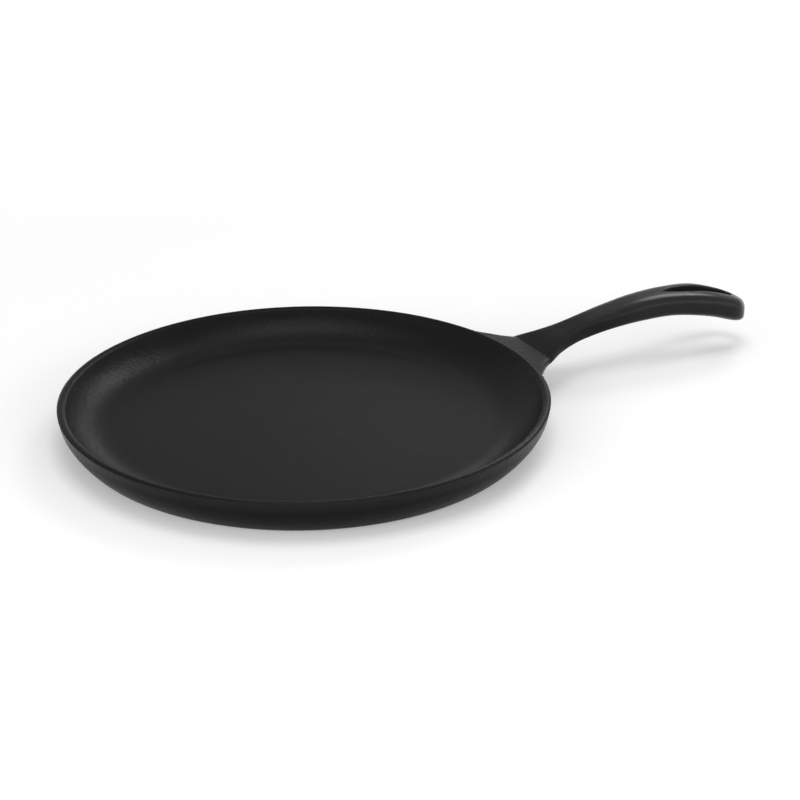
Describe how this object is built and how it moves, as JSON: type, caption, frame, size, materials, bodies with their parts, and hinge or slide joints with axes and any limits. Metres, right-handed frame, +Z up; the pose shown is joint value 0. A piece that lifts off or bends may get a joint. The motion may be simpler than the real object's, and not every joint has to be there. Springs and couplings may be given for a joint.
{
  "type": "tapioca pan",
  "caption": "Shallow round cast iron pan with a narrow crowned lip, a wide cove round its cooking floor, and an arched handle with a hanging slot, cast in one with it.",
  "frame": {"origin": "on the dish's axis, on the flat face that the pan stands on", "axes": "+X from the dish's axis out along the handle, +Z up out of the dish, +Y to the left as seen from the dish looking along the handle"},
  "size_m": [0.4145, 0.26, 0.039],
  "materials": {
    "cast_iron": "matte black seasoned iron with a fine sand-cast grain"
  },
  "bodies": {
    "root": {"pan_body": "cast_iron", "handle": "cast_iron"}
  },
  "joints": []
}
